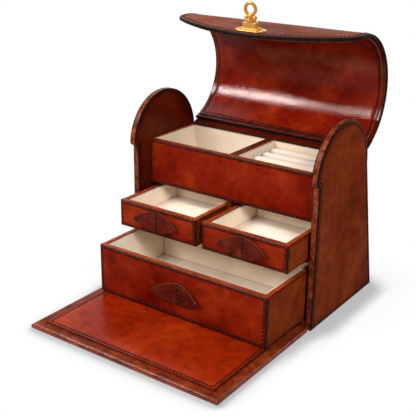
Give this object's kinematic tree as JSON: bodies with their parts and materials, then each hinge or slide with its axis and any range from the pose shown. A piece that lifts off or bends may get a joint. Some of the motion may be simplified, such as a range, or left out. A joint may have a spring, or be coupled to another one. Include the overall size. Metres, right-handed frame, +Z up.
{
  "type": "jewellery box",
  "caption": "Leather jewellery box with an arched hinged lid, a lined top tray with ring rolls, pull-out drawers, a drop-front flap and a gold turn clasp.",
  "frame": {"origin": "middle of the side panels' footprint, on the floor", "axes": "+X to the viewer's right along the width, -Y out of the front where the drawers open, +Z up"},
  "size_m": [0.24, 0.3238, 0.3246],
  "materials": {
    "leather": "polished red-brown leather over board",
    "bright_leather": "polished orange-brown leather",
    "dark_leather": "polished dark red-brown leather",
    "suede": "cream suede with a short nap",
    "gold": "polished yellow gold plating on brass"
  },
  "bodies": {
    "carcass": {"left_side_panel": "leather", "right_side_panel": "leather", "back_panel": "leather", "base_panel": "leather", "drawer_shelf": "leather", "drawer_partition": "leather", "tray_front": "leather", "tray_floor": "leather", "tray_divider": "leather", "tray_left_end": "leather", "tray_right_end": "leather", "tray_left_lining": "suede", "tray_right_lining": "suede", "ring_bed": "suede", "ring_rolls": "suede", "lid_hinge": "dark_leather", "flap_hinge": "dark_leather"},
    "lid": {"lid_shell": "leather", "lid_lining": "leather", "clasp_plate": "gold", "clasp_rivets": "gold", "clasp_block": "gold"},
    "clasp": {"clasp_ring": "gold"},
    "flap": {"flap_board": "leather", "flap_raised_panel": "bright_leather"},
    "large_drawer": {"large_front": "leather", "large_left_wall": "leather", "large_right_wall": "leather", "large_back": "leather", "large_bottom": "leather", "large_lining": "suede", "large_pull": "dark_leather"},
    "left_drawer": {"left_front": "leather", "left_left_wall": "leather", "left_right_wall": "leather", "left_back": "leather", "left_bottom": "leather", "left_lining": "suede", "left_pull": "dark_leather"},
    "right_drawer": {"right_front": "leather", "right_left_wall": "leather", "right_right_wall": "leather", "right_back": "leather", "right_bottom": "leather", "right_lining": "suede", "right_pull": "dark_leather"}
  },
  "joints": [
    {"name": "lid_swing", "type": "hinge", "parent": "carcass", "child": "lid", "pos_m": [0, 0.0375, 0.169], "axis": [1, 0, 0], "range_deg": [0, 84]},
    {"name": "clasp_turn", "type": "hinge", "parent": "lid", "child": "clasp", "pos_m": [0, -0.01887, 0.29397], "axis": [0, -0.1045, 0.9945], "range_deg": [0, 90]},
    {"name": "flap_swing", "type": "hinge", "parent": "carcass", "child": "flap", "pos_m": [0, -0.0755, 0.0027], "axis": [1, 0, 0], "range_deg": [0, 90]},
    {"name": "large_slide", "type": "slide", "parent": "carcass", "child": "large_drawer", "axis": [0, 1, 0], "range_m": [-0.012, 0.0832]},
    {"name": "left_slide", "type": "slide", "parent": "carcass", "child": "left_drawer", "axis": [0, 1, 0], "range_m": [-0.025, 0.0475]},
    {"name": "right_slide", "type": "slide", "parent": "carcass", "child": "right_drawer", "axis": [0, 1, 0], "range_m": [-0.025, 0.0475]}
  ]
}
